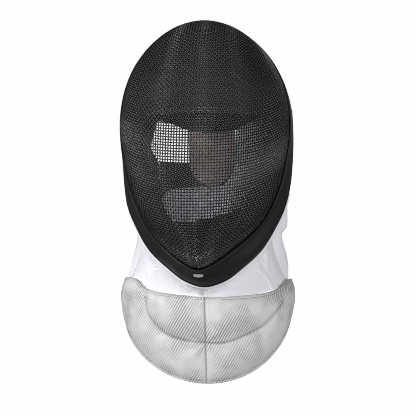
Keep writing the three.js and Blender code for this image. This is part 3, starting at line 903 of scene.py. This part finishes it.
beige_thread = Finish("beige thread", (0.6, 0.5, 0.45), 0.7)
BORDER = {"side": COVER["seam"] / TONGUE["cover"], "end": 1 - COVER["seam"] / COVER["length"]}
border_u = np.concatenate([ALONG * 0 + BORDER["side"], BORDER["side"] + ALONG * (1 - 2 * BORDER["side"]),
                           ALONG * 0 + 1 - BORDER["side"]])
border_v = np.concatenate([ALONG * BORDER["end"], ALONG * 0 + BORDER["end"], ALONG[::-1] * BORDER["end"]])
sew("suede_stitches", "tongue_cover", beige_thread,
    [(cover_sheet, cover_inner, border_u, border_v)])

# ------------------------------------------------------------------ strap and its tabs
# Broad tabs of ribbed black webbing are sewn to the back edge of the trim. A strap of the same
# webbing crosses between them behind the tongue.

# Rows of the left tab from its top edge down, each from the trim to the strap.
TAB = [
    {"z": 125, "line": [(107, 26.5), (101, 47), (88, 68), (71, 84)]},
    {"z": 104, "line": [(107, 26.5), (101, 47), (90, 66), (77, 80)]},
    {"z": 80, "line": [(107, 26.5), (101, 47), (92, 63), (81, 76.5)]},
    {"z": 61, "line": [(105.5, 26.5), (101, 47), (88, 69), (72, 84)]},
    {"z": 34, "line": [(103.5, 26.5), (101, 47), (88, 68), (72, 84)]},
]
TAB_HALF = 1.4
# The flap under the white wings, from the wearer's right round the nape.
NAPE_FLAP = [
    {"top": (-95, 36, 40), "foot": (-82, 40, -20)},
    {"top": (-93, 50, 40), "foot": (-83, 57, -22)},
    {"top": (-83, 65, 40), "foot": (-76, 71, -23)},
    {"top": (-66, 80, 38), "foot": (-60, 84, -24)},
    {"top": (-45, 93, 24), "foot": (-40, 93, -25)},
    {"top": (0, 99, 21), "foot": (0, 98, -26)},
    {"top": (40, 97, 21), "foot": (40, 97, -26)},
    {"top": (63, 90, 21), "foot": (62, 91, -26)},
]
STRAP_LINE = [(70.5, 85.8), (52, 96), (30, 103), (0, 105), (-30, 103), (-52, 96), (-70.5, 85.8)]
STRAP = {"top": 62.0, "bottom": 25.0, "half": 0.95}


def through_rows(lines):
    """A sheet through smooth lines: u runs along them and v from the first line to the last."""
    return lambda u, v: smooth_rows([line(u) for line in lines], v)


webbing = Finish("ribbed black webbing", (0.02, 0.02, 0.022), 0.85, Specular_IOR_Level=0.2)
picks, ribs = (axis.waves(period) for axis, period in zip(webbing.cloth(), (0.9, 1.6)))
lint = webbing.noise(webbing.spots(), 900.0, 3.0)
webbing.feed("Base Color", webbing.blend(
    ribs * 0.5 + lint * 0.5, (0.004, 0.004, 0.0045), (0.024, 0.024, 0.026)))
webbing.relief(ribs * 0.7 + picks * 0.3, 0.5)

left_tab = through_rows([smooth_line([(x, y, row["z"]) for x, y in row["line"]]) for row in TAB])
nape_flap = through_rows([smooth_line([row[edge] for row in NAPE_FLAP]) for edge in ("top", "foot")])
strap_sheet = through_rows([
    smooth_line([(x, y, STRAP[edge]) for x, y in STRAP_LINE]) for edge in ("top", "bottom")])


def right_tab(u, v):
    return left_tab(1 - u, v) * (-1, 1, 1)


def webbing_face(u, v):
    return TAB_HALF + 0 * u


# seams: where rows of stitches run down the piece, as shares of the way along it.
WEBS = [
    {"name": "tab_left", "node": "strap_tab_left", "sheet": left_tab, "half": TAB_HALF, "grid": (40, 44),
     "flat": (0.07, 0.092), "area": 0.0062, "held": "hung", "seams": (0.05, 0.12)},
    {"name": "tab_right", "node": "strap_tab_right", "sheet": right_tab, "half": TAB_HALF, "grid": (40, 44),
     "flat": (0.07, 0.092), "area": 0.0062, "held": "hung", "seams": (0.88, 0.95)},
    {"name": "flap", "node": "nape_flap", "sheet": nape_flap, "half": TAB_HALF, "grid": (110, 30),
     "flat": (0.225, 0.058), "area": 0.0102, "held": "hung", "seams": (0.03, 0.97)},
    {"name": "elastic_strap", "node": "back_strap", "sheet": strap_sheet, "half": STRAP["half"],
     "grid": (90, 16), "flat": (0.158, 0.037), "area": None, "held": "stretched", "seams": ()},
]
for web in WEBS:
    width, length = web["flat"]
    belt = wall(web["name"], between(web["sheet"], web["half"], -web["half"]), *web["grid"],
                (width / MM, length / MM))
    fit(belt, webbing, web["node"])
    seams = [(web["sheet"], webbing_face, ALONG * 0 + place, ALONG) for place in web["seams"]]
    rows = [sew(web["name"] + "_stitches", web["node"], black_thread, seams)] if seams else []

# ------------------------------------------------------------------ white bib
# Several layers of tightly woven white cloth, sewn together. It hangs from a round piping on the
# trim, is drawn in by darts, wraps the neck and crosses the nape with one long wing.

EAR = 6 / (2 * ROWS)
PIPING = {"radius": 1.8, "end": 0.93 * EAR, "gap": 0.3}


def below_trim(place, distance, inward=0.0):
    """Points past the outer edge of the trim, at a distance in line with it."""
    one = np.ones_like(place)
    outward = band(place, one) - band(place, one * 0.9)
    outward = outward / np.linalg.norm(outward, axis=-1, keepdims=True)
    return band(place, one) + outward * distance - facing(band, place, one * 0.97) * inward


piping_line = below_trim(np.linspace(-PIPING["end"], PIPING["end"], 220), PIPING["radius"] + PIPING["gap"])
piping = threads("piping", [piping_line], PIPING["radius"], sides=12)
piping_cloth = Finish("white piping", (0.9, 0.9, 0.93), 0.8)
twist = piping_cloth.noise(piping_cloth.spots(), 700.0, 3.0)
piping_cloth.relief(twist, 0.15)
fit(piping, piping_cloth, "bib_piping")

# The apron below, which the bib is sewn to. shoulder, middle: height of its top. corner, hem: of its
# foot. aside, sway: how far it hangs to the wearer's left at the top, and further at the foot.
APRON = {"half_width": 107.3, "depth": 96.0, "back": 36.0, "shoulder": -92.0, "middle": -107.0,
         "corner": -126.0, "hem": -209.0, "hem_round": 0.53, "aside": 3.5, "sway": 2.5}
SHORT_WING = [
    {"top": (-78, 78, -6), "waist": (-79, 79, -20), "foot": (-80, 80, -36)},
    {"top": (-93, 61, 4), "waist": (-93, 65, -16), "foot": (-95, 66, -44)},
    {"top": (-102, 38, 13), "waist": (-92, 46, -24), "foot": (-99, 54, -60)},
]
LONG_WING = [
    {"top": (99, 27, 66), "waist": (101, 39, -12), "foot": (101, 54, -60)},
    {"top": (88, 38, 118), "waist": (90, 50, 22), "foot": (94, 66, -44)},
    {"top": (72, 51, 123), "waist": (72, 62, 38), "foot": (78, 79, -24)},
    {"top": (52, 66, 118), "waist": (54, 77, 46), "foot": (57, 86, -5)},
    {"top": (36, 77, 109), "waist": (38, 85, 44), "foot": (37, 89, -1)},
    {"top": (33, 82, 62), "waist": (27, 86, 26), "foot": (25, 91, -5)},
    {"top": (18, 85, 32), "waist": (12, 88, 10), "foot": (10, 91, -10)},
    {"top": (-12, 88, 28), "waist": (-12, 89, 6), "foot": (-12, 91, -16)},
    {"top": (-36, 86, 27), "waist": (-37, 87, 4), "foot": (-36, 88, -19)},
    {"top": (-54, 80, 25), "waist": (-54, 80, 3), "foot": (-50, 81, -18)},
    {"top": (-65, 72, 13), "waist": (-63, 73, 4), "foot": (-60, 75, -5)},
]
# Under the trim, from the ear to the chin. seam: where on the apron the foot is sewn, as a width.
UNDER_TRIM = [
    {"waist": (82, 24, -32), "seam": 106.5},
    {"waist": (81, 4, -40), "seam": 100.0},
    {"waist": (76, -13, -53), "seam": 87.0},
    {"waist": (58, -36, -72), "seam": 63.0},
    {"waist": (30, -54, -90), "seam": 33.0},
    {"waist": (0, -62, -101), "seam": 0.0},
]
ROWS_UNDER_TRIM = 48
TUCK = {"inside": 4.5, "below": 3.0}            # mm, of the foot behind the apron
BIB_TOP = {"distance": 2.2, "inward": 1.9}      # mm, from the outer edge of the trim


def bow(x):
    """1 in the middle of the apron and 0 at its side ends."""
    return np.maximum(1 - (x / APRON["half_width"]) ** 2, 0)


def apron_depth(x):
    return APRON["back"] - APRON["depth"] * np.sqrt(bow(x))


def apron_top(x):
    return APRON["middle"] + (APRON["shoulder"] - APRON["middle"]) * (x / APRON["half_width"]) ** 2


def apron_hem(x):
    return APRON["corner"] + (APRON["hem"] - APRON["corner"]) * bow(x) ** APRON["hem_round"]


def apron_aside(x, v):
    """How far it hangs towards the wearer's left."""
    return (APRON["aside"] + APRON["sway"] * v) * bow(x)


shares = np.linspace(0, 1, ROWS_UNDER_TRIM + 1)
to_ear = np.abs(2 * shares - 1)
handed = np.where(shares < 0.5, -1, 1)
waists = smooth_line([row["waist"] for row in UNDER_TRIM])(1 - to_ear)
waists[:, 0] *= handed
seams = smooth_line([(row["seam"], 0, 0) for row in UNDER_TRIM])(1 - to_ear)[:, 0]
feet = np.stack([
    handed * seams * (1 - TUCK["inside"] / APRON["half_width"]) + apron_aside(seams, 0),
    APRON["back"] + (apron_depth(seams) - APRON["back"]) * (1 - TUCK["inside"] / APRON["depth"]),
    apron_top(seams) - TUCK["below"]], -1)
tops = below_trim(-EAR + 2 * EAR * shares, **BIB_TOP)
bib_lines = [
    smooth_line([*(row[line] for row in SHORT_WING), *middle, *(row[line] for row in LONG_WING)])
    for line, middle in (("top", tops), ("waist", waists), ("foot", feet))]
bib_rows = len(SHORT_WING) + len(shares) + len(LONG_WING) - 1
FRONT_FROM = len(SHORT_WING) / bib_rows
FRONT_TO = (len(SHORT_WING) + ROWS_UNDER_TRIM) / bib_rows
# By the wearer's left jaw the cloth bulges behind the trim, is drawn in below it and flares again.
DRAWN_IN = {"place": 1.022, "reach": 0.03, "height": -34.0, "above": 7.0, "below": 20.0, "deep": 7.5}


def across_front(u):
    """The place across the front, from the wearer's right ear (0) to the left (1)."""
    return (u - FRONT_FROM) / (FRONT_TO - FRONT_FROM)


def bib(u, v):
    start, middle, end = (line(u) for line in bib_lines)
    spots = arc(start, middle, end, v)
    off = (across_front(u) - DRAWN_IN["place"]) / DRAWN_IN["reach"]
    level = spots[..., 2] - DRAWN_IN["height"]
    level = level / np.where(level > 0, DRAWN_IN["above"], DRAWN_IN["below"])
    spots[..., 0] -= DRAWN_IN["deep"] * ridge(off) * ridge(level)
    return spots


# Darts of the front, by their place at half height. Each has a roll of cloth along one side.
DARTS = [
    {"place": 0.305, "lean": -0.15, "width": 0.004, "deep": 2.6, "from": 0.42},
    {"place": 0.517, "lean": 0.0, "width": 0.003, "deep": 0.9, "from": 0.35},
    {"place": 0.695, "lean": 0.19, "width": 0.004, "deep": 2.8, "from": 0.5},
]
ROLL = {"beside": 2.4, "wide": 1.8, "rise": 0.5}        # as shares of a dart's width and depth
# Hollows where the cloth is gathered, by place across the front and share of the way down.
HOLLOWS = [
    {"place": 0.272, "down": 0.62, "wide": 0.018, "tall": 0.14, "deep": 5.0},
    {"place": 0.768, "down": 0.56, "wide": 0.016, "tall": 0.13, "deep": 6.0},
    {"place": 0.16, "down": 0.5, "wide": 0.02, "tall": 0.1, "deep": 1.4},
    {"place": 0.86, "down": 0.4, "wide": 0.02, "tall": 0.14, "deep": 2.2},
]
RIPPLES = 0.6                   # mm, how far the loose cloth waves
EDGE_TAPE = {"wide": 8.2, "rise": 0.9, "step": 0.35, "groove": 0.6, "stitch_in": 1.1}


def from_edge(u, v):
    """Distance from the sewn upper edge, in mm."""
    start, middle, end = (line(u) for line in bib_lines)
    return v * (np.linalg.norm(middle - start, axis=-1) + np.linalg.norm(end - middle, axis=-1))


def bib_outside(u, v):
    front = across_front(u)
    height = 0.8 + 0 * u
    for dart in DARTS:
        off = (front - dart["place"] - dart["lean"] * (v - 0.5)) / dart["width"]
        height = height + dart["deep"] * np.clip((v - dart["from"]) * 5, 0, 1) * (
            ROLL["rise"] * ridge(off - ROLL["beside"], ROLL["wide"]) - ridge(off))
    for hollow in HOLLOWS:
        height = height - hollow["deep"] * (
            ridge(front - hollow["place"], hollow["wide"]) * ridge(v - hollow["down"], hollow["tall"]))
    ripples = np.sin(front * 41 + 2.5 * v) * np.sin(front * 17 + 1.3) * np.sin(np.pi * np.clip(v, 0, 1))
    tape = (from_edge(u, v) - EDGE_TAPE["wide"]) / EDGE_TAPE["step"]
    return (height + RIPPLES * ripples + EDGE_TAPE["rise"] / (1 + np.exp(np.clip(tape, -30, 30)))
            - EDGE_TAPE["groove"] * ridge(tape + 3, 1.6))


upper_bib = wall("bib_cloth", between(bib, bib_outside, -1.0), 460, 72, (640, 90))
white = Finish("white bib cloth", (0.91, 0.9, 0.955), 0.88, Sheen_Weight=0.15, Sheen_Roughness=0.4)
warp, weft = (axis.waves(0.8) for axis in white.cloth())
slub = white.noise(white.spots(), 160.0, 5.0, 0.6)
white.feed("Base Color", white.blend(
    slub * 0.7 + warp * 0.15 + weft * 0.15, (0.85, 0.84, 0.9), (0.91, 0.9, 0.955)))
white.relief(warp * 0.4 + weft * 0.4 + slub * 0.5, 0.12)
fit(upper_bib, white, "bib_upper")
white_thread = Finish("white thread", (0.7, 0.7, 0.76), 0.8)
tape_u = FRONT_FROM + ALONG * (FRONT_TO - FRONT_FROM)
tape_v = (EDGE_TAPE["wide"] - EDGE_TAPE["stitch_in"]) / from_edge(tape_u, np.ones_like(tape_u))
tape_seam = sew("bib_stitches", "bib_upper", white_thread,
                [(bib, bib_outside, tape_u, tape_v)])

# ------------------------------------------------------------------ grey conductive apron
# A quilted apron of grey metallic twill. A seam down the middle and a curved one across pinch it
# into four soft panels, and a narrow tape and a row of stitches follow its edge.

# The curved seam, from the wearer's right to the left, as x and z on the apron.
SMILE = [(-72, -110), (-66, -132), (-45, -151.5), (-27, -157), (2, -160.5), (23, -160), (45, -152),
         (68, -140.5), (77.5, -132), (89, -121), (93, -115)]
# Upper edge of the apron, as x and z.
APRON_TOP = [(-107.3, -96), (-105.5, -91), (-98.5, -87), (-91, -87.5), (-85, -90), (-78, -95.5),
             (-71.5, -99), (-59, -101.5), (-42, -103.3), (3, -106), (54, -104.6), (69, -103.6), (80, -102),
             (90, -98.3), (98.5, -93.2), (105.5, -89.5), (107.3, -92)]
# In mm. puff: how far a panel swells. reach: from a seam. wale: from one twill line to the next.
QUILT = {"puff": 6.0, "reach": 10.0, "wale": 2.75, "slant": (0.86, 0.5), "tape": 1.6, "stitch_in": 3.2}
# How far other things raise or sink the cloth, in mm.
RISES = {"star": 0.8, "puckers": 0.35, "tape": 0.15, "stitches": -0.2, "crease": -1.2}
# The puckers round the crossing of the two seams.
STAR = {"height": -160.5, "spokes": 8, "core": 6.0, "reach": 26.0}

edge_spots = smooth_line([(x, 0, z) for x, z in APRON_TOP])(np.linspace(0, 1, 400))


def apron(u, v):
    x = -APRON["half_width"] * np.sin((0.5 - u) * math.pi)
    top = np.interp(x, edge_spots[:, 0], edge_spots[:, 2])
    return np.stack([x + apron_aside(x, v), apron_depth(x), top + (apron_hem(x) - top) * v], -1)


lap_share = np.linspace(0, 1, 1801)
lap = lap_share * math.pi
lap_run = run_along(
    np.stack([-APRON["half_width"] * np.cos(lap), APRON["back"] - APRON["depth"] * np.sin(lap)], -1))


def sideways_flat(share):
    """How far from the middle a share of the way round lies when the apron is laid flat."""
    return np.interp(share, lap_share, lap_run) - lap_run[-1] / 2


def flat(u, v):
    """Where a spot of the apron lies when it is laid flat: sideways from the middle, and height."""
    return np.stack([sideways_flat(u), apron(u, v)[..., 2]], -1)


def nearest(spots, line):
    """How far spots lie from a line of points."""
    tree = KDTree(len(line))
    for number, (x, z) in enumerate(line):
        tree.insert((x, z, 0), number)
    tree.balance()
    return np.array([tree.find((x, z, 0))[2] for x, z in spots])


fine = np.linspace(0, 1, 900)
border = np.concatenate([
    flat(fine, fine * 0), flat(fine, fine * 0 + 1), flat(fine * 0, fine), flat(fine * 0 + 1, fine)])
smile_x, _, smile_z = smooth_line([(x, 0, z) for x, z in SMILE])(np.linspace(0, 1, 500)).T
smile_share = 0.5 + np.arcsin(np.clip(smile_x / APRON["half_width"], -1, 1)) / math.pi
smile_line = np.stack([sideways_flat(smile_share), smile_z], -1)


def filled(distance, reach):
    """How full the quilting is at a distance from a seam, from 0 to 1."""
    return 1 - np.exp(-distance / reach)


def quilted(u, v):
    spots = flat(u, v)
    sideways, height = spots[..., 0], spots[..., 1]
    to_border = nearest(spots, border)
    to_smile = nearest(spots, smile_line)
    to_centre = np.abs(sideways)
    full = ((0.2 + 0.8 * filled(to_centre, QUILT["reach"]))
            * (0.45 + 0.55 * filled(to_smile, QUILT["reach"] * 0.7))
            * filled(np.maximum(to_border - 2, 0), QUILT["reach"]))
    above = height - STAR["height"]
    out = np.hypot(sideways, above)
    star = (np.cos(STAR["spokes"] * np.arctan2(above, sideways)) * np.exp(-out / STAR["reach"])
            * filled(out, STAR["core"]))
    puckers = np.sin(sideways * 0.21 + height * 0.11) * np.sin(height * 0.17 - sideways * 0.05)
    tape = 1 / (1 + np.exp((to_border - QUILT["tape"]) / 0.5))
    stitches = ridge(to_border - QUILT["stitch_in"], 1.3)
    crease = ridge(np.minimum(to_smile, to_centre), 1.2)
    return (1.0 + QUILT["puff"] * full + RISES["star"] * star + RISES["puckers"] * puckers * full
            + RISES["tape"] * tape + RISES["stitches"] * stitches + RISES["crease"] * crease)


grain = (lap_run[-1], 100)
lame = wall("lame_apron", between(apron, quilted, -1.4), 300, 130, grain)
flat_map = lame.data.uv_layers["cloth"].data
grain_uv = np.empty(len(flat_map) * 2)
flat_map.foreach_get("uv", grain_uv)
laid = flat(*(grain_uv.reshape(-1, 2) / grain).T)
flat_map.foreach_set("uv", laid.ravel())

to_seam = np.minimum(nearest(laid, smile_line), np.abs(laid[:, 0]))
to_edge = nearest(laid, border)
seam_shade = lame.data.attributes.new("seam", "FLOAT", "CORNER")
seam_shade.data.foreach_set("value", ridge(to_seam, 0.9) + 0.5 * (to_edge < QUILT["tape"]))

twill = Finish("grey metallic twill", (0.7, 0.7, 0.7), 0.6, Metallic=0.25)
laid_x, laid_z = twill.cloth()
wander = twill.noise(twill.spots(), 45.0, 2.0)
slant_x, slant_z = QUILT["slant"]
wale = (laid_x * slant_x - laid_z * slant_z + wander * 2.6).waves(QUILT["wale"])
fibres = twill.noise(twill.spots(), 1300.0, 3.0, 0.7)
cloudy = twill.noise(twill.spots(), 24.0, 3.0)
ridged = (cloudy * 4.5 - 1.7).math("MAXIMUM", 0.1).math("MINIMUM", 1.0)
seam_dark = twill.node("Attribute", {"attribute_name": "seam"}, out="Fac")
shade = (1 - wale) * ridged * 0.75 + fibres * 0.22 + cloudy * 0.05 + seam_dark * 0.5
twill.feed("Base Color", twill.blend(shade, (0.82, 0.82, 0.815), (0.28, 0.28, 0.28)))
twill.feed("Roughness", fibres * 0.2 + 0.55)
twill.relief(wale * ridged * 0.9 + fibres * 0.35, 0.45, sunk=True)
fit(lame, twill, "bib_lame")

# Stitches all round, in from the edge.
loop_u = np.concatenate([fine, fine * 0 + 1, fine[::-1], fine * 0])
loop_v = np.concatenate([fine * 0, fine, fine * 0 + 1, fine[::-1]])
outline = flat(loop_u, loop_v)
heading = np.gradient(outline, axis=0)
heading = heading / np.maximum(np.linalg.norm(heading, axis=-1, keepdims=True), 1e-9)
sewing = outline + np.stack([heading[:, 1], -heading[:, 0]], -1) * QUILT["stitch_in"]
sewing = sewing[nearest(sewing, border) > QUILT["stitch_in"] * 0.93]
sewn_u = np.interp(sewing[:, 0] + lap_run[-1] / 2, lap_run, lap_share)
sewn_top, sewn_hem = (apron(sewn_u, np.full_like(sewn_u, level))[:, 2] for level in (0, 1))
sewn_v = (sewing[:, 1] - sewn_top) / (sewn_hem - sewn_top)
brown_thread = Finish("grey-brown thread", (0.1, 0.09, 0.082), 0.8)
round_seam = sew("lame_stitches", "bib_lame", brown_thread, [(apron, quilted, sewn_u, sewn_v)])
